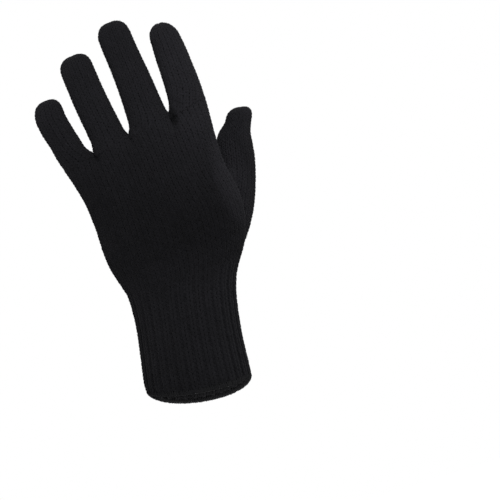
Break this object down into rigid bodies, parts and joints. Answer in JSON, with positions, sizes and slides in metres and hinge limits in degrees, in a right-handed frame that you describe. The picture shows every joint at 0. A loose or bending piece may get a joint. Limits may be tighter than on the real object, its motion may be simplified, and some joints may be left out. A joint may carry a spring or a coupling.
{
  "type": "wool glove",
  "caption": "Knitted wool glove for the left hand, with separate fingers, an opposed thumb and a long ribbed cuff, in the form that it has when worn.",
  "frame": {"origin": "centre of the mouth of the cuff, where the wrist goes in", "axes": "+Z from the mouth of the cuff to the fingertips, +X towards the thumb's side, -Y out of the back of the hand, +Y out of the palm"},
  "size_m": [0.1464, 0.0819, 0.2753],
  "materials": {
    "plain_knit": "black wool in plain stocking stitch, matt, with a soft fuzz",
    "rib_knit": "black wool in one-by-one rib, matt, with a soft fuzz",
    "welt_knit": "black wool, the plain rolled welt at the mouth of the cuff"
  },
  "bodies": {
    "root": {"cuff_welt": "welt_knit", "cuff": "rib_knit", "hand": "plain_knit", "little_finger": "plain_knit", "ring_finger": "plain_knit", "middle_finger": "plain_knit", "index_finger": "plain_knit", "thumb": "plain_knit"}
  },
  "joints": []
}
